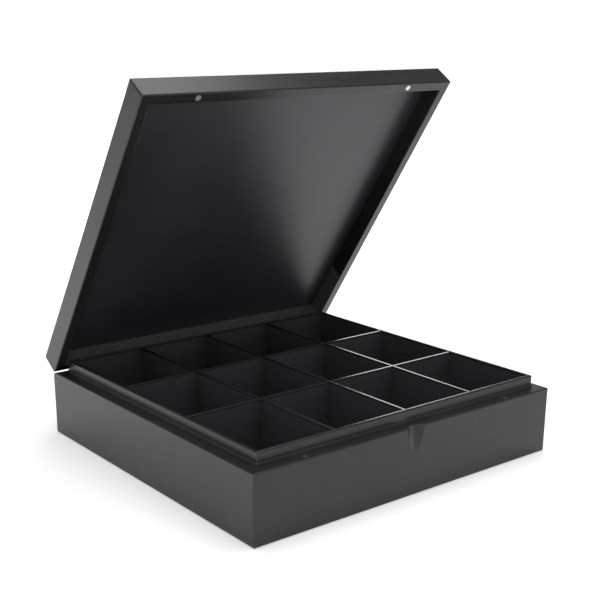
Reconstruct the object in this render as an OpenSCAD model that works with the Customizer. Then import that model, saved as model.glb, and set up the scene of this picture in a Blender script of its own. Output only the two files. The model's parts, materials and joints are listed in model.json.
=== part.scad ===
// Tea bag organizer box: a low square case with twelve compartments, a raised rim
// that the hinged lid drops over, a thumb scoop in the front and a magnet catch.
// Origin: centre of the case's underside. +Y points to the hinge side, +Z up.

/* [Case] */
// Width of the case, left to right
case_w = 335; // [300:1:360]
// Depth of the case, front to hinge side
case_d = 320; // [290:1:345]
// Height of the four outer boards
base_h = 61; // [52:0.5:75]
// Thickness of the four outer boards
wall_t = 11; // [10:0.1:12.5]
// Thickness of the floor panel
floor_t = 5; // [4:0.5:6]

/* [Tray] */
// Thickness of the liner boards that form the raised rim
liner_t = 3.3; // [2.8:0.1:4.5]
// Height of the rim above the ledge that the lid rests on
rim_rise = 11.5; // [8:0.5:14]
// Thickness of the dividers
divider_t = 3; // [2.4:0.1:4]
// How far the divider tops lie below the rim
divider_drop = 0.5; // [0.2:0.1:2]

/* [Lid] */
// Height of the lid's side faces
lid_h = 22.4; // [20:0.2:28]
// Width of the lid's four rails
rail_w = 9.5; // [9.4:0.1:9.9]
// Thickness of the lid's top panel
panel_t = 6; // [4:0.5:7]
// Hairline between the lid and the ledge when closed
lid_gap = 0.3; // [0.2:0.05:0.5]
// How far the lid stands open, in degrees
lid_open = 56; // [0:1:100]

/* [Edges] */
// Rounding of the upright corners
corner_r = 1.6; // [1:0.1:3]
// Rounding of the ledge's outer edge
ledge_r = 1.2; // [0.6:0.1:2]
// Rounding of the case's lower edge
foot_r = 1.6; // [1:0.1:3]
// Rounding of the lid's upper edge
crown_r = 2.4; // [1.5:0.1:3]
// Rounding of the case's hinge edge, which lets the lid swing past it
hinge_edge_r = 6.2; // [5.8:0.1:6.6]
// Rounding of the lid's hinge edge
lid_heel_r = 3.5; // [3.4:0.1:4.2]

/* [Thumb scoop] */
// Width of the scoop at the ledge
scoop_w = 20.6; // [16:0.1:26]
// Height of the scoop on the front face
scoop_h = 22; // [16:0.5:28]
// Depth of the scoop at the ledge
scoop_d = 4.5; // [3:0.1:6]

/* [Hinges] */
// Distance of each hinge from the middle of the case
hinge_x = 98; // [80:1:110]
// Length of each hinge
hinge_len = 38; // [30:1:46]
// Thickness of the hinge leaves
leaf_t = 1.2; // [1:0.1:1.4]
// Radius of the hinge barrel
barrel_r = 2.1; // [1.8:0.1:2.2]

/* [Magnet catch] */
// Distance of each magnet from the side face
magnet_x = 53; // [40:1:70]
// Distance of the magnets from the front face
magnet_y = 5; // [4.6:0.1:5.4]
// Radius of the magnets
magnet_r = 3; // [2.5:0.1:3.2]
// Thickness of the magnets
magnet_t = 3; // [2:0.5:4]

/* [Hidden] */

lacquer = [0.13, 0.13, 0.14];
tray_black = [0.17, 0.17, 0.18];
nickel = [0.78, 0.77, 0.74];
zinc = [0.45, 0.45, 0.47];

columns = 4;
rows = 3;
rabbet = 5;
eps = 0.01;

// Corners of a section, as the turn that takes a cut at the lower left to them
lower_left = 0;
lower_right = 90;
upper_right = 180;
upper_left = 270;

// Tray: the liner stands on the floor panel, inside the outer boards
tray_w = case_w - 2 * wall_t;
tray_d = case_d - 2 * wall_t;
rim_z = base_h + rim_rise;
rim_r = 1.5;
rim_inner_r = 0.7;
rim_corner_r = 0.8;
inner_w = tray_w - 2 * liner_t;
inner_d = tray_d - 2 * liner_t;
dado = 1.2;
slot_play = 0.1;
divider_top = rim_z - divider_drop;
divider_mid = (floor_t + divider_top) / 2;
divider_r = 0.6;
cell_w = (inner_w - (columns - 1) * divider_t) / columns;
cell_d = (inner_d - (rows - 1) * divider_t) / rows;

// Lid, drawn closed and then turned about the hinge axis
lid_z = base_h + lid_gap;
lid_edge_r = 1.1;
rail_lip_r = 0.9;
axis_y = case_d / 2 - 2.5;
axis_z = base_h + leaf_t + lid_gap / 2;

// Hinges
knuckles = 5;
knuckle_gap = 0.2;
pin_r = 1;
pin_play = 0.04;
pin_head_r = 1.6;
pin_head_t = 0.6;
leaf_reach = 5.5;
leaf_corner_r = 1;
barrel_room = 0.3;
mortise_room = 0.4;
screw_x = 12;
screw_y = 3.9;
screw_head_r = 1.3;
screw_r = 0.7;
screw_len = 8;
pilot_r = 0.75;

// Takes off what a rounding of radius r leaves outside, at one corner of a section
module round_corner(at, turn, r) {
    room = 0.5;
    translate(at)
        rotate(turn)
            difference() {
                translate([-room, -room]) square(r + room);
                translate([r, r]) circle(r, $fn = 48);
            }
}

// Section of an outer board: x runs inwards from the outer face, y is height.
// The rabbet at its lower inner edge takes the floor panel.
module board_section(top_r) {
    difference() {
        square([wall_t, base_h]);
        translate([wall_t - rabbet, -1]) square([rabbet + 1, floor_t + 1]);
        round_corner([0, 0], lower_left, foot_r);
        round_corner([0, base_h], upper_left, top_r);
    }
}

// Section of a liner board: its top is rounded where it shows above the ledge
module liner_section() {
    difference() {
        translate([0, floor_t]) square([liner_t, rim_z - floor_t]);
        round_corner([0, rim_z], upper_left, rim_r);
        round_corner([liner_t, rim_z], upper_right, rim_inner_r);
    }
}

// Section of a lid rail, measured from the lid's underside.
// The rabbet at its upper inner edge takes the top panel.
module rail_section(heel_r) {
    difference() {
        square([rail_w, lid_h]);
        translate([rail_w - rabbet, lid_h - panel_t]) square([rabbet + 1, panel_t + 1]);
        round_corner([0, 0], lower_left, heel_r);
        round_corner([0, lid_h], upper_left, crown_r);
        round_corner([rail_w, 0], lower_right, rail_lip_r);
    }
}

// Section of a divider, centred on its own middle plane
module divider_section() {
    difference() {
        translate([-divider_t / 2, floor_t]) square([divider_t, divider_top - floor_t]);
        round_corner([-divider_t / 2, divider_top], upper_left, divider_r);
        round_corner([divider_t / 2, divider_top], upper_right, divider_r);
    }
}

// Plan of a board mitred to 45 degrees, its outer face on y = 0, with the rounding of the upright corners
module mitre_plan(len, t, r) {
    difference() {
        polygon([[-len / 2, 0], [len / 2, 0], [len / 2 - t, t], [-len / 2 + t, t]]);
        round_corner([-len / 2, 0], lower_left, r);
        round_corner([len / 2, 0], lower_right, r);
    }
}

// Extrudes a section along X, centred: the section's x becomes Y and its y becomes Z
module along_x(len) {
    translate([-len / 2, 0, 0])
        rotate([90, 0, 90])
            linear_extrude(len) children();
}

// A board with both ends mitred: children() is its section
module mitred_board(len, t, r, height) {
    intersection() {
        along_x(len) children();
        linear_extrude(height) mitre_plan(len, t, r);
    }
}

// Puts a board drawn with its outer face on y = 0 on one side of a w by d frame
module on_side(side, w, d) {
    turn = side == "front" ? 0 : side == "right" ? 90 : side == "rear" ? 180 : 270;
    reach = side == "front" || side == "rear" ? d / 2 : w / 2;
    rotate([0, 0, turn])
        translate([0, -reach, 0]) children();
}

// Case
module case_board(side) {
    len = side == "front" || side == "rear" ? case_w : case_d;
    top_r = side == "rear" ? hinge_edge_r : ledge_r;
    on_side(side, case_w, case_d)
        mitred_board(len, wall_t, corner_r, base_h + eps) board_section(top_r);
}

// A slab that spans the width, with one edge of its hinge end rounded
module rounded_hinge_end(z, height, turn, r) {
    rear = case_d / 2;
    edge_z = turn == upper_right ? z + height : z;
    along_x(case_w + 2)
        difference() {
            translate([-case_d, z]) square([case_d + rear, height]);
            round_corner([rear, edge_z], turn, r);
        }
}

// A side board also takes the rounding of the hinge edge, which is cut across its rear end
module case_side_board(side) {
    color(lacquer)
    intersection() {
        case_board(side);
        rounded_hinge_end(0, base_h, upper_right, hinge_edge_r);
    }
}

// A leaning cylinder that leaves a scoop on the front face, deepest at the ledge
module scoop_cutter() {
    lean = atan(scoop_d / scoop_h);
    cutter_r = (scoop_w * scoop_w / 4 + scoop_d * scoop_d) / (2 * scoop_d);
    translate([0, -case_d / 2, base_h - scoop_h])
        rotate([-lean, 0, 0])
            translate([0, -cutter_r, -scoop_h])
                cylinder(r = cutter_r, h = 3 * scoop_h, $fn = 96);
}

// Blind hole for a magnet, with a small chamfer at its mouth. The hole runs to +Z.
module magnet_hole() {
    mouth = 0.4;
    cylinder(r = magnet_r + 0.05, h = magnet_t, $fn = 48);
    translate([0, 0, -eps])
        cylinder(r1 = magnet_r + mouth, r2 = magnet_r, h = mouth + eps, $fn = 48);
}

// Places children at the left or right magnet, at height z
module at_magnet(side, z) {
    translate([side * (case_w / 2 - magnet_x), -case_d / 2 + magnet_y, z]) children();
}

module base_front_board() {
    color(lacquer)
    difference() {
        case_board("front");
        scoop_cutter();
        for (side = [-1, 1])
            at_magnet(side, base_h) mirror([0, 0, 1]) magnet_hole();
    }
}

module base_rear_board() {
    color(lacquer)
    difference() {
        case_board("rear");
        for (side = [-1, 1]) {
            barrel_groove(side);
            screw_places(side, base_h + leaf_t) mirror([0, 0, 1]) pilot_hole();
        }
    }
}

module floor_panel() {
    margin = 2 * (wall_t - rabbet);
    color(tray_black)
    linear_extrude(floor_t)
        square([case_w - margin, case_d - margin], center = true);
}

// Tray
// Positions of the dividers: columns along X, rows along Y
function column_x(i) = -inner_w / 2 + i * cell_w + (i - 0.5) * divider_t;
function row_y(i) = -inner_d / 2 + i * cell_d + (i - 0.5) * divider_t;

// Upright groove in a liner that a divider's end slides into
module dado_cut(x) {
    width = divider_t + slot_play;
    translate([x - width / 2, liner_t - dado, floor_t - eps])
        cube([width, dado + eps, rim_z]);
}

module liner(side) {
    across = side == "front" || side == "rear";
    count = across ? columns - 1 : rows - 1;
    color(tray_black)
    on_side(side, tray_w, tray_d)
        difference() {
            mitred_board(across ? tray_w : tray_d, liner_t, rim_corner_r, rim_z + eps)
                liner_section();
            for (i = [1:count])
                dado_cut(across ? column_x(i) : row_y(i));
        }
}

// A divider along X, with half-lap slots of the given floor and height
module divider(len, slot_z, slot_places) {
    slot_w = divider_t + slot_play;
    difference() {
        along_x(len) divider_section();
        for (x = slot_places)
            translate([x - slot_w / 2, -divider_t, slot_z])
                cube([slot_w, 2 * divider_t, rim_z]);
    }
}

// Front-to-back dividers are slotted from above
module column_divider(i) {
    color(tray_black)
    translate([column_x(i), 0, 0])
        rotate([0, 0, 90])
            divider(inner_d + 2 * dado, divider_mid, [for (k = [1:rows - 1]) row_y(k)]);
}

// Left-to-right dividers are slotted from below and drop over the others
module row_divider(i) {
    color(tray_black)
    translate([0, row_y(i), 0])
        divider(inner_w + 2 * dado, divider_mid - rim_z, [for (k = [1:columns - 1]) column_x(k)]);
}

// Magnet catch
module base_magnet(side) {
    color(zinc)
    at_magnet(side, base_h - magnet_t)
        cylinder(r = magnet_r, h = magnet_t, $fn = 48);
}

module lid_magnet(side) {
    color(nickel)
    on_lid()
        at_magnet(side, lid_z)
            cylinder(r = magnet_r, h = magnet_t, $fn = 48);
}

// Lid
// Turns what is drawn closed about the hinge axis to the open lid
module on_lid() {
    translate([0, axis_y, axis_z])
        rotate([-lid_open, 0, 0])
            translate([0, -axis_y, -axis_z]) children();
}

module lid_rail(side) {
    len = side == "front" || side == "rear" ? case_w : case_d;
    heel_r = side == "rear" ? lid_heel_r : lid_edge_r;
    translate([0, 0, lid_z])
        on_side(side, case_w, case_d)
            mitred_board(len, rail_w, corner_r, lid_h + eps) rail_section(heel_r);
}

module lid_panel() {
    margin = 2 * (rail_w - rabbet);
    color(lacquer)
    on_lid()
        translate([0, 0, lid_z + lid_h - panel_t])
            linear_extrude(panel_t)
                square([case_w - margin, case_d - margin], center = true);
}

module lid_front_rail() {
    color(lacquer)
    on_lid()
        difference() {
            lid_rail("front");
            for (side = [-1, 1])
                at_magnet(side, lid_z) magnet_hole();
        }
}

// The rear rail is mortised to take both leaves of each hinge
module lid_rear_rail() {
    color(lacquer)
    on_lid()
        difference() {
            lid_rail("rear");
            for (side = [-1, 1]) {
                leaf_mortise(side);
                barrel_groove(side);
                screw_places(side, lid_z + lid_gap / 2 + leaf_t) pilot_hole();
            }
        }
}

// A side rail also takes the rounding of the hinge edge, which is cut across its rear end
module lid_side_rail(side) {
    color(lacquer)
    on_lid()
        intersection() {
            lid_rail(side);
            rounded_hinge_end(lid_z, lid_h, lower_right, lid_heel_r);
        }
}

// Hinges
// Room for the barrel in the wood of the case and the lid
module barrel_groove(side) {
    room_len = hinge_len + 2 * (pin_head_t + mortise_room);
    translate([side * hinge_x, axis_y, axis_z])
        rotate([0, 90, 0])
            cylinder(r = barrel_r + barrel_room, h = room_len, center = true, $fn = 64);
}

// Recess in the lid's underside, as deep as the two leaves and the gap between them
module leaf_mortise(side) {
    width = hinge_len + mortise_room;
    reach = leaf_reach + mortise_room;
    translate([side * hinge_x - width / 2, axis_y - reach, lid_z - 1])
        cube([width, reach + wall_t, 1 + 2 * leaf_t]);
}

// Puts children at the two screws of a hinge, at height z
module screw_places(side, z) {
    for (dx = [-screw_x, screw_x])
        translate([side * hinge_x + dx, axis_y - screw_y, z]) children();
}

module pilot_hole() {
    cylinder(r = pilot_r, h = screw_len + 1, $fn = 32);
}

// Countersunk head and shank of a small screw, driven towards +Z, head face on z = 0
module screw_form() {
    cylinder(r1 = screw_head_r, r2 = screw_r, h = screw_head_r - screw_r, $fn = 32);
    cylinder(r = screw_r, h = screw_len, $fn = 32);
}

// A leaf with its knuckles: first is the index of its first knuckle, and the plate
// lies above the axis on the lid (up = 1) or below it on the case (up = -1)
module hinge_leaf(side, first, up) {
    pitch = hinge_len / knuckles;
    own = [for (i = [first:2:knuckles - 1]) -hinge_len / 2 + (i + 0.5) * pitch];
    near = barrel_r + barrel_room;
    plate_z = up > 0 ? lid_gap / 2 : -lid_gap / 2 - leaf_t;
    translate([side * hinge_x, axis_y, axis_z])
        difference() {
            union() {
                translate([-hinge_len / 2, -leaf_reach, plate_z])
                    linear_extrude(leaf_t) leaf_outline(hinge_len, leaf_reach - near);
                for (x = own)
                    knuckle(x, pitch - knuckle_gap, plate_z);
            }
            rotate([0, 90, 0])
                cylinder(r = pin_r + pin_play, h = hinge_len + 2, center = true, $fn = 48);
            for (dx = [-screw_x, screw_x])
                translate([dx, -screw_y, up > 0 ? plate_z : plate_z + leaf_t])
                    mirror([0, 0, up > 0 ? 0 : 1]) screw_form();
        }
}

// Outline of a leaf's plate, whose free corners are rounded
module leaf_outline(w, d) {
    difference() {
        square([w, d]);
        round_corner([0, 0], lower_left, leaf_corner_r);
        round_corner([w, 0], lower_right, leaf_corner_r);
    }
}

// One knuckle and the tab that joins it to the plate
module knuckle(x, len, plate_z) {
    translate([x, 0, 0]) {
        rotate([0, 90, 0])
            cylinder(r = barrel_r, h = len, center = true, $fn = 64);
        translate([-len / 2, -leaf_reach + leaf_corner_r, plate_z])
            cube([len, leaf_reach - leaf_corner_r, leaf_t]);
    }
}

module base_leaf(side) {
    color(zinc) hinge_leaf(side, 0, -1);
}

module lid_leaf(side) {
    color(zinc) on_lid() hinge_leaf(side, 1, 1);
}

// Pin with a flat head at each end that keeps it in the barrel
module hinge_pin(side) {
    end = hinge_len / 2 - knuckle_gap / 2;
    color(nickel)
    translate([side * hinge_x, axis_y, axis_z])
        rotate([0, 90, 0]) {
            cylinder(r = pin_r, h = 2 * end, center = true, $fn = 48);
            for (flip = [0, 1])
                mirror([0, 0, flip])
                    translate([0, 0, end])
                        cylinder(r = pin_head_r, h = pin_head_t, $fn = 48);
        }
}

module base_leaf_screws() {
    color(nickel)
    for (side = [-1, 1])
        screw_places(side, base_h + leaf_t) mirror([0, 0, 1]) screw_form();
}

module lid_leaf_screws() {
    color(nickel)
    on_lid()
        for (side = [-1, 1])
            screw_places(side, axis_z + lid_gap / 2) screw_form();
}

base_front_board();
base_rear_board();
case_side_board("left");  // base_left_board
case_side_board("right");  // base_right_board
floor_panel();
liner("front");  // front_liner
liner("rear");  // rear_liner
liner("left");  // left_liner
liner("right");  // right_liner
column_divider(1);  // column_divider_left
column_divider(2);  // column_divider_middle
column_divider(3);  // column_divider_right
row_divider(1);  // row_divider_front
row_divider(2);  // row_divider_rear
base_magnet(-1);  // base_magnet_left
base_magnet(1);  // base_magnet_right
base_leaf(-1);  // left_hinge_base_leaf
base_leaf(1);  // right_hinge_base_leaf
hinge_pin(-1);  // left_hinge_pin
hinge_pin(1);  // right_hinge_pin
base_leaf_screws();
lid_panel();
lid_front_rail();
lid_rear_rail();
lid_side_rail("left");  // lid_left_rail
lid_side_rail("right");  // lid_right_rail
lid_magnet(-1);  // lid_magnet_left
lid_magnet(1);  // lid_magnet_right
lid_leaf(-1);  // left_hinge_lid_leaf
lid_leaf(1);  // right_hinge_lid_leaf
lid_leaf_screws();
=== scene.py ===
"""Finishes, the step at the rim's foot, light and camera for the lacquered tea bag box."""

import json
import math

import bpy
import numpy as np
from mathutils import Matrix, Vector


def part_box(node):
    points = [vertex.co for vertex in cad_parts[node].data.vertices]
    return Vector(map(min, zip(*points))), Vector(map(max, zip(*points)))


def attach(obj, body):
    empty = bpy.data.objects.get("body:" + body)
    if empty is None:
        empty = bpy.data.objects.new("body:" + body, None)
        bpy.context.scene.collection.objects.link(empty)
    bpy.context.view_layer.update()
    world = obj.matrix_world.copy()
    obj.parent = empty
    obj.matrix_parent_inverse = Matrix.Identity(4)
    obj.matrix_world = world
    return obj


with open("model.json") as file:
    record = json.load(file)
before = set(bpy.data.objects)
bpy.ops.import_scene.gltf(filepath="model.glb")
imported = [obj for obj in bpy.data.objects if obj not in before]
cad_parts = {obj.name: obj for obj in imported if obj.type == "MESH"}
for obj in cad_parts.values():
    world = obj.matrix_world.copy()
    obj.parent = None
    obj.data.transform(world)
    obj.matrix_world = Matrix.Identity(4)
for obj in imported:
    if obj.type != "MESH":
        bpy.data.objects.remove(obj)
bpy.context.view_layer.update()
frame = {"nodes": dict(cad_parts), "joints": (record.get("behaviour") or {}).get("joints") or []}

MM = 0.001
SIDES = ("front", "rear", "left", "right")

# Camera: its place in metres, then its turn to the right and its tilt downwards in degrees
CAMERA_PLACE = (-0.6175, -0.7667, 0.3775)
CAMERA_YAW = 37.532
CAMERA_PITCH = 18.122
LENS_MM = 66.52
FRAME_SHIFT = (0.0485, 0.142)

# The step at the rim's foot: how far it stands out, how high it is and how far it reaches
# into the liner, then the bevel of its upper edge and the radius of its corners
STEP_OUT = 0.8 * MM
STEP_UP = 2.8 * MM
STEP_IN = 0.2 * MM
STEP_BEVEL = 0.3 * MM
STEP_CORNER = 0.8 * MM
CORNER_POINTS = 8

# The inside of the tray looks a little blue, and the panel of the lid a little violet
COOL = (0.97, 1.0, 1.05)
VIOLET = (1.02, 0.97, 1.16)

# Light from all round, as the strength of the world behind everything
AMBIENT = 0.60

# How far the lid stands open at rest, from its hinge's own range
LID_OPEN = math.radians(-frame["joints"][0]["range_deg"][0])


class Signal:
    """One output of a node. Arithmetic on it adds Math nodes to the same finish."""

    def __init__(self, finish, socket):
        self.finish = finish
        self.socket = socket

    def __add__(self, other):
        return self.finish.math("ADD", self, other)

    __radd__ = __add__

    def __sub__(self, other):
        return self.finish.math("SUBTRACT", self, other)

    def __rsub__(self, other):
        return self.finish.math("SUBTRACT", other, self)

    def __mul__(self, other):
        return self.finish.math("MULTIPLY", self, other)

    __rmul__ = __mul__

    def __abs__(self):
        return self.finish.math("ABSOLUTE", self)

    def lower(self, other):
        return self.finish.math("MINIMUM", self, other)

    def higher(self, other):
        return self.finish.math("MAXIMUM", self, other)

    def output(self, name):
        """Another output of the same node."""
        return Signal(self.finish, self.socket.node.outputs[name])

    def step(self, start, end):
        """0 at start and 1 at end, smooth between them and level beyond. Either may be the lower."""
        rises = start < end
        low, high = (start, end) if rises else (end, start)
        ends = {"From Min": low, "From Max": high, "To Min": 1 - rises, "To Max": int(rises)}
        settings = {"interpolation_type": "SMOOTHSTEP"}
        return self.finish.node("ShaderNodeMapRange", settings, {"Value": self, **ends})


class Finish:
    """A material, or the world, whose nodes are added one by one."""

    def __init__(self, name, owner=None):
        self.owner = owner or bpy.data.materials.new(name)
        self.owner.use_nodes = True
        self.tree = self.owner.node_tree
        self.tree.nodes.clear()

    def node(self, kind, settings=None, sockets=None, out=0):
        """Adds a node, its settings first and then the values or links of its sockets, and
        returns its output out."""
        made = self.tree.nodes.new(kind)
        for key, value in (settings or {}).items():
            setattr(made, key, value)
        for key, value in (sockets or {}).items():
            if isinstance(value, Signal):
                self.tree.links.new(value.socket, made.inputs[key])
            else:
                made.inputs[key].default_value = value
        return Signal(self, made.outputs[out]) if made.outputs else None

    def math(self, operation, *values):
        """A Math node on one or two signals or numbers."""
        return self.node("ShaderNodeMath", {"operation": operation}, dict(enumerate(values)))

    def mix(self, share, first, second):
        """Colour between first, at share 0, and second, at share 1."""
        sockets = {"Factor": share, 6: first, 7: second}
        return self.node("ShaderNodeMix", {"data_type": "RGBA"}, sockets, out=2)

    def noise(self, place, scale, detail=2.0, roughness=0.5):
        """Cloudy noise from 0 to 1 that changes scale times per metre."""
        sockets = {"Vector": place, "Scale": scale, "Detail": detail, "Roughness": roughness}
        return self.node("ShaderNodeTexNoise", {"noise_dimensions": "3D"}, sockets)

    def bump(self, height, distance):
        """A normal for a surface that rises by distance, in metres, as height goes from 0 to 1."""
        sockets = {"Strength": 1.0, "Distance": distance, "Height": height}
        return self.node("ShaderNodeBump", sockets=sockets)

    def object_place(self):
        return self.node("ShaderNodeTexCoord", out="Object")

    def stretched(self, place, scale):
        """Coordinates scaled along each axis."""
        return self.node("ShaderNodeMapping", {"vector_type": "POINT"}, {"Vector": place, "Scale": scale})

    def turned(self, place, turn):
        """Coordinates turned about X, which puts the open lid's finish where it is when closed."""
        sockets = {"Vector": place, "Rotation": (turn, 0, 0)}
        return self.node("ShaderNodeMapping", {"vector_type": "POINT"}, sockets)

    def axes(self, place):
        """The X, Y and Z of coordinates."""
        x = self.node("ShaderNodeSeparateXYZ", sockets={"Vector": place}, out="X")
        return x, x.output("Y"), x.output("Z")

    def surface(self, shader):
        """Ends the nodes with a shader and returns the material or the world."""
        in_world = isinstance(self.owner, bpy.types.World)
        kind = "ShaderNodeOutputWorld" if in_world else "ShaderNodeOutputMaterial"
        self.node(kind, sockets={"Surface": shader})
        return self.owner


def grey(level):
    return (level, level, level, 1.0)


def closed_box(nodes, turn):
    """Lowest and highest corner of some CAD nodes after turning them by turn about X."""
    spin = np.array([[1, 0, 0],
                     [0, math.cos(turn), -math.sin(turn)],
                     [0, math.sin(turn), math.cos(turn)]])
    points = []
    for name in nodes:
        mesh = frame["nodes"][name].data
        flat = np.empty(len(mesh.vertices) * 3)
        mesh.vertices.foreach_get("co", flat)
        points.append(flat.reshape(-1, 3) @ spin.T)
    points = np.concatenate(points)
    return points.min(axis=0), points.max(axis=0)


def width(node):
    """Width of a CAD node along X, which is the thickness of a board that runs along Y."""
    low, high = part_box(node)
    return high[0] - low[0]


def edge_distance(finish, place, box):
    """Distance to the nearest outer edge of a box: the middle one of the three distances to
    its nearest pairs of faces, because a point on a face has a distance of nought to it."""
    middle = [(low + high) / 2 for low, high in zip(*box)]
    half = [(high - low) / 2 for low, high in zip(*box)]
    parts = finish.axes(place)
    a, b, c = [half[k] - abs(parts[k] - middle[k]) for k in range(3)]
    return a.lower(b).higher(a.higher(b).lower(c))


def lacquer(name, grain, box, turn=0.0, black=0.021, roughness=0.26, brushed=0.0, flecks=0.0,
            tint=(1.0, 1.0, 1.0), painted_light_inside=None):
    """Black lacquer sprayed over fine-grained wood. The grain runs along X or Y and shows as
    faint pores; brushed adds fine lines and flecks adds short light dashes along the grain;
    the sprayed film has a shallow ripple; edges are paler and smoother, partly rubbed and
    partly a painted highlight. painted_light_inside is the half width, half depth and height of a space
    whose walls are painted paler as painted light, and how many times paler they are."""
    finish = Finish(name)
    place = finish.turned(finish.object_place(), turn)

    def along_grain(long, across):
        """Noise that changes long times per metre along the grain and across times over it."""
        scale = (long, across, across) if grain == "x" else (across, long, across)
        return finish.noise(finish.stretched(place, scale), scale=1.0, detail=2.0, roughness=0.6)

    pores = along_grain(long=36.0, across=900.0)
    lines = along_grain(long=14.0, across=700.0).step(0.45, 0.7) * brushed
    dashes = along_grain(long=90.0, across=800.0).step(0.62, 0.74) * flecks
    ripple = finish.noise(place, scale=260.0, detail=1.0)
    clouds = finish.noise(place, scale=14.0, detail=3.0)
    # Edges are paler and smoother: partly rubbing, partly a painted highlight where the roundings catch
    # light
    rub_and_glint_ends, rub_and_glint_full = 1.6 * MM, 0.2 * MM
    rub_and_glint = edge_distance(finish, place, box).step(rub_and_glint_ends, rub_and_glint_full) * clouds.step(0.35, 0.7)

    def shade(times):
        """This lacquer's black, that many times paler."""
        return tuple(times * black * part for part in tint) + (1.0,)

    pale = shade(2.2)
    tone = finish.mix(clouds.step(0.3, 0.7), shade(0.88), shade(1.12))
    tone = finish.mix(lines.higher(dashes), tone, pale)
    tone = finish.mix(rub_and_glint * 0.5, tone, pale)
    # Painted light: the walls inside that space are made paler for the light that falls on them
    if painted_light_inside:
        x, y, z = finish.axes(place)
        half_w, half_d, top, times = painted_light_inside
        into_wall, fade_down = (0.5 * MM, 0.1 * MM), 2 * MM
        outside = (abs(x) - half_w).higher(abs(y) - half_d)
        painted_light_space = outside.step(*into_wall) * z.step(top, top - fade_down)
        tone = finish.mix(painted_light_space, tone, shade(times))

    dull = roughness + 0.05 * (clouds - 0.5) + 0.05 * (pores - 0.5) + 0.06 * lines - 0.05 * rub_and_glint
    height = pores * 0.25 + ripple * 0.5 + lines * 0.5 + dashes * 0.5
    shader = finish.node("ShaderNodeBsdfPrincipled", sockets={
        "Base Color": tone, "Roughness": dull, "Normal": finish.bump(height, 0.006 * MM), "IOR": 1.5})
    return finish.surface(shader)


def zinc_steel():
    """Zinc-plated steel with brushing marks along X and slightly duller patches."""
    finish = Finish("zinc_steel")
    place = finish.object_place()
    marks = finish.noise(finish.stretched(place, (60, 900, 900)), scale=1.0)
    patches = finish.noise(place, scale=400.0)
    tone = finish.mix(patches.step(0.3, 0.7), (0.40, 0.40, 0.41, 1.0), (0.344, 0.344, 0.3526, 1.0))
    dull = 0.36 + 0.12 * (patches - 0.5) + 0.08 * (marks - 0.5)
    shader = finish.node("ShaderNodeBsdfPrincipled", sockets={
        "Base Color": tone, "Metallic": 1.0, "Roughness": dull, "Normal": finish.bump(marks, 0.004 * MM)})
    return finish.surface(shader)


def from_magnet_axis(finish, place, right_magnet, turn):
    """Distance from the axis of the left or right magnet, whichever is nearer. The pair is
    the same left and right, so it is measured from the right one's middle."""
    x, y, _ = finish.axes(finish.turned(place, turn))
    low, high = closed_box([right_magnet], turn)
    across = abs(x) - (low[0] + high[0]) / 2
    along = y - (low[1] + high[1]) / 2
    return finish.math("SQRT", across * across + along * along)


def painted_magnet():
    """Magnet under a coat of black lacquer, with a small paler spot in its middle that is a painted
    highlight.
    """
    finish = Finish("painted_magnet")
    place = finish.object_place()
    # The paler spot in the middle is a painted highlight on the magnet
    glint_ends, glint_full = 1.9 * MM, 1.1 * MM
    bare_nickel_or_painted_glint = from_magnet_axis(finish, place, "base_magnet_right", 0.0).step(glint_ends, glint_full)
    scuffs = finish.noise(place, scale=900.0)
    shader = finish.node("ShaderNodeBsdfPrincipled", sockets={
        "Base Color": finish.mix(bare_nickel_or_painted_glint, grey(0.025), grey(0.08)),
        "Roughness": 0.3 + 0.15 * bare_nickel_or_painted_glint + 0.06 * (scuffs - 0.5), "IOR": 1.5})
    return finish.surface(shader)


def nickel_magnet():
    """Nickel disc, scuffed in patches, with a dark non-metallic ring over its rim that is painted shade,
    the shadow of its recess.
    """
    finish = Finish("nickel_magnet")
    place = finish.object_place()
    patches = finish.noise(place, scale=700.0)
    # Painted shade: the dark ring at the rim stands for the shadow of the magnet's recess
    shade_ring_from, shade_ring_full, unevenness = 2.35 * MM, 2.75 * MM, 0.5 * MM
    distance = from_magnet_axis(finish, place, "lid_magnet_right", LID_OPEN)
    bare_nickel_or_painted_glint = (distance + unevenness * (patches - 0.5)).step(shade_ring_full, shade_ring_from)
    nickel = finish.mix(patches.step(0.35, 0.65), (0.74, 0.71, 0.64, 1.0), (0.52, 0.49, 0.42, 1.0))
    shader = finish.node("ShaderNodeBsdfPrincipled", sockets={
        "Base Color": finish.mix(bare_nickel_or_painted_glint, grey(0.03), nickel), "Metallic": bare_nickel_or_painted_glint,
        "Roughness": 0.34 + 0.14 * (patches - 0.5)})
    return finish.surface(shader)


def wear(node, material):
    """Gives a CAD node a finish through its material slots."""
    piece = frame["nodes"][node]
    if not piece.material_slots:
        piece.data.materials.append(material)
    for slot in piece.material_slots:
        slot.material = material


def dress_case():
    boards = {side: f"base_{side}_board" for side in SIDES}
    box = closed_box(boards.values(), 0.0)
    along_x = lacquer("case_lacquer_x", "x", box)
    along_y = lacquer("case_lacquer_y", "y", box)
    for side, board in boards.items():
        wear(board, along_y if side in ("left", "right") else along_x)


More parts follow.
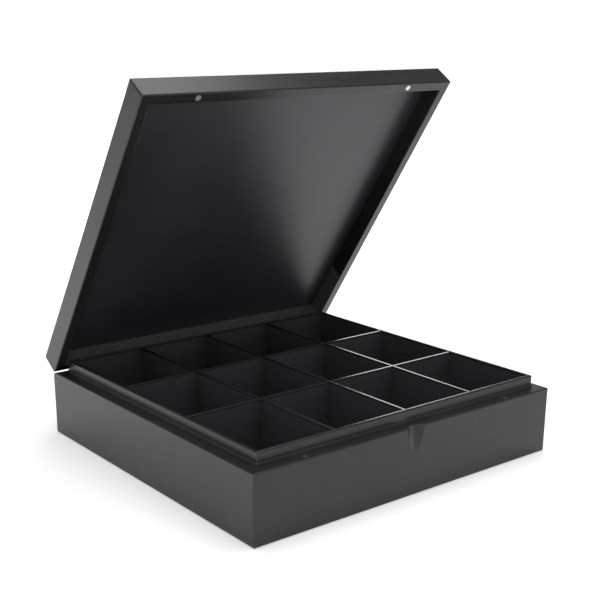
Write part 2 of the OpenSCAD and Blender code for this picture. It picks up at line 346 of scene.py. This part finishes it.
def dress_tray():
    """Liners, floor and dividers. Their walls are painted paler inside, from just under the rim's top, as
    painted light; their black, darker than the case's, is painted shade on the rim's outer faces.
    """
    box = closed_box([f"{side}_liner" for side in SIDES], 0.0)
    half_w, half_d, rim_top = box[1]
    liner_t, below_top, times = width("left_liner"), 1.2 * MM, 3.0
    painted_light_space = (half_w - liner_t, half_d - liner_t, rim_top - below_top, times)
    along_x = lacquer("tray_lacquer_x", "x", box, black=0.018, tint=COOL, painted_light_inside=painted_light_space)
    along_y = lacquer("tray_lacquer_y", "y", box, black=0.018, tint=COOL, painted_light_inside=painted_light_space)
    for node in ("front_liner", "rear_liner", "floor_panel", "row_divider_front", "row_divider_rear"):
        wear(node, along_x)
    for node in ("left_liner", "right_liner"):
        wear(node, along_y)
    for column in ("left", "middle", "right"):
        wear(f"column_divider_{column}", along_y)
    step = rim_foot_step(box)
    # The step's lacquer is paler than the tray's: a painted highlight for the light line at the rim's
    # foot
    step.data.materials.append(lacquer("rim_step_lacquer_painted_highlight", "x", box, black=0.045))


def rim_foot_step(box):
    """The narrow step at the rim's foot: a section swept round a rectangle with rounded
    corners. A section point that lies out and up gives a ring: the middle of each corner's
    arc, plus the corner radius and out along the direction of the angle, at the height up."""
    ledge_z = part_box("base_left_board")[1][2]
    small = STEP_BEVEL / 3
    section = np.array([(-STEP_IN, 0.0), (STEP_OUT, 0.0), (STEP_OUT, STEP_UP - STEP_BEVEL),
                        (STEP_OUT - small, STEP_UP - small), (STEP_OUT - STEP_BEVEL, STEP_UP),
                        (-STEP_IN, STEP_UP)])
    low, high = box
    half_w, half_d = (high[0] - low[0]) / 2, (high[1] - low[1]) / 2
    quarters = [np.linspace(quarter, quarter + 1, CORNER_POINTS) for quarter in range(4)]
    angles = np.concatenate(quarters) * math.pi / 2
    middle_x = np.repeat([1, -1, -1, 1], CORNER_POINTS) * (half_w - STEP_CORNER)
    middle_y = np.repeat([1, 1, -1, -1], CORNER_POINTS) * (half_d - STEP_CORNER)
    reach = STEP_CORNER + section[:, :1]
    x = middle_x + reach * np.cos(angles)
    y = middle_y + reach * np.sin(angles)
    z = np.broadcast_to(ledge_z + section[:, 1:], x.shape)
    ring, spot = np.indices(x.shape)
    rings, spots = x.shape
    next_ring, next_spot = (ring + 1) % rings, (spot + 1) % spots
    faces = np.stack([ring * spots + spot, ring * spots + next_spot,
                      next_ring * spots + next_spot, next_ring * spots + spot], axis=-1)
    mesh = bpy.data.meshes.new("rim_foot_step")
    mesh.from_pydata(np.stack([x, y, z], axis=-1).reshape(-1, 3), [], faces.reshape(-1, 4).tolist())
    step = bpy.data.objects.new("rim_foot_step", mesh)
    bpy.context.scene.collection.objects.link(step)
    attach(step, "case")
    return step


def dress_lid():
    """Rails and panel. The rails' inner faces are painted paler over their whole height, as painted
    light; the rails' black is darker than the case's, and the front rail's darker still, as painted
    shade.
    """
    box = closed_box([f"lid_{side}_rail" for side in SIDES], LID_OPEN)
    half_w, half_d, lid_top = box[1]
    rail_w, above_top, times = width("lid_left_rail"), 5 * MM, 5.0
    painted_light_space = (half_w - rail_w, half_d - rail_w, lid_top + above_top, times)
    along_x = lacquer("lid_lacquer_x", "x", box, LID_OPEN, black=0.016, painted_light_inside=painted_light_space)
    along_y = lacquer("lid_lacquer_y", "y", box, LID_OPEN, black=0.016, painted_light_inside=painted_light_space)
    brushed = lacquer("lid_lacquer_brushed", "x", box, LID_OPEN, black=0.011, brushed=0.5,
                      painted_light_inside=painted_light_space)
    panel = lacquer("lid_panel_lacquer", "x", box, LID_OPEN, black=0.03, roughness=0.34,
                    flecks=0.5, tint=VIOLET)
    wear("lid_front_rail", brushed)
    wear("lid_panel", panel)
    wear("lid_rear_rail", along_x)
    wear("lid_left_rail", along_y)
    wear("lid_right_rail", along_y)


def dress_hardware():
    nickel, painted, steel = nickel_magnet(), painted_magnet(), zinc_steel()
    for side in ("left", "right"):
        wear(f"lid_magnet_{side}", nickel)
        wear(f"base_magnet_{side}", painted)
        for part in ("base_leaf", "lid_leaf", "pin"):
            wear(f"{side}_hinge_{part}", steel)
    wear("base_leaf_screws", steel)
    wear("lid_leaf_screws", steel)


def softbox(name, centre, aim, size, radiance, only_glints=False):
    """A rectangular area lamp of the given radiance, hidden from the camera.
    An area lamp's power is its radiance times pi times its area. With only_glints it shows
    in polished edges but adds no light of its own."""
    lamp = bpy.data.lights.new(name, "AREA")
    lamp.shape = "RECTANGLE"
    lamp.size, lamp.size_y = size
    lamp.energy = radiance * math.pi * size[0] * size[1]
    thing = bpy.data.objects.new(name, lamp)
    bpy.context.scene.collection.objects.link(thing)
    thing.location = centre
    aimed = np.array(aim) - np.array(centre)
    pitch = math.atan2(math.hypot(aimed[0], aimed[1]), -aimed[2])
    thing.rotation_euler = (pitch, 0.0, math.atan2(-aimed[0], aimed[1]))
    thing.visible_camera = False
    thing.visible_diffuse = not only_glints


def softboxes():
    """One overhead, a strip at the left for the glints and one behind to the right."""
    box_middle = (0.0, 0.0, 0.1)
    softbox("overhead_softbox", centre=(0.15, 0.0, 1.5), aim=(0.15, 0.0, 0.0),
            size=(1.3, 1.4), radiance=2.5)
    softbox("left_strip_light", centre=(-1.0, -0.25, 1.2), aim=box_middle,
            size=(1.1, 0.35), radiance=9.0, only_glints=True)
    softbox("back_right_softbox", centre=(1.45, 1.55, 0.72), aim=box_middle,
            size=(0.75, 0.8), radiance=3.2)


def studio_floor():
    """White paper floor. The camera sees it glow more with distance, so that it has no far
    edge. The lacquer mirrors a fainter glow, which grows to the left and behind at the right."""
    half = 5.0
    mesh = bpy.data.meshes.new("studio_floor")
    corners = [(-half, -half, 0), (half, -half, 0), (half, half, 0), (-half, half, 0)]
    mesh.from_pydata(corners, [], [(0, 1, 2, 3)])
    floor = bpy.data.objects.new("studio_floor", mesh)
    bpy.context.scene.collection.objects.link(floor)

    paper = Finish("floor_paper")
    seen = paper.node("ShaderNodeLightPath", out="Is Camera Ray")
    mirrored = seen.output("Is Glossy Ray")
    place = paper.object_place()
    distance = paper.node("ShaderNodeVectorMath", {"operation": "LENGTH"}, {0: place}, out="Value")
    x, y, _ = paper.axes(place)
    far = distance.step(0.35, 1.2)
    left = x.step(-0.14, -0.4)
    right = x.step(0.12, 0.2) * y.step(-0.2, -0.08)
    strength = seen * (0.28 + 0.9 * far) + mirrored * (0.08 + 0.45 * left + 0.5 * right)
    matt = paper.node("ShaderNodeBsdfDiffuse", sockets={"Color": grey(0.9)})
    glow = paper.node("ShaderNodeEmission", sockets={"Color": grey(1.0), "Strength": strength})
    mesh.materials.append(paper.surface(paper.node("ShaderNodeAddShader", sockets={0: matt, 1: glow})))


def studio_air():
    """The world: white to the camera, grey in the lacquer and darker there higher up, and an
    even light for all else."""
    world = bpy.data.worlds.new("studio_air")
    bpy.context.scene.world = world
    air = Finish("studio_air", world)
    seen = air.node("ShaderNodeLightPath", out="Is Camera Ray")
    mirrored = seen.output("Is Glossy Ray")
    _, _, up = air.axes(air.node("ShaderNodeTexCoord", out="Generated"))
    in_mirror = 0.2 + 0.5 * up.step(0.35, 0.05)
    strength = seen + (1 - seen) * (mirrored * in_mirror + (1 - mirrored) * AMBIENT)
    air.surface(air.node("ShaderNodeBackground", sockets={"Color": grey(1.0), "Strength": strength}))


def camera():
    lens = bpy.data.cameras.new("camera")
    lens.lens = LENS_MM
    lens.shift_x, lens.shift_y = FRAME_SHIFT
    lens.clip_start = 0.05
    thing = bpy.data.objects.new("camera", lens)
    bpy.context.scene.collection.objects.link(thing)
    thing.location = CAMERA_PLACE
    thing.rotation_euler = (math.radians(90 - CAMERA_PITCH), 0.0, -math.radians(CAMERA_YAW))
    bpy.context.scene.camera = thing


camera()
studio_floor()
studio_air()
softboxes()
dress_case()
dress_tray()
dress_lid()
dress_hardware()
bpy.context.scene.view_settings.view_transform = "Standard"
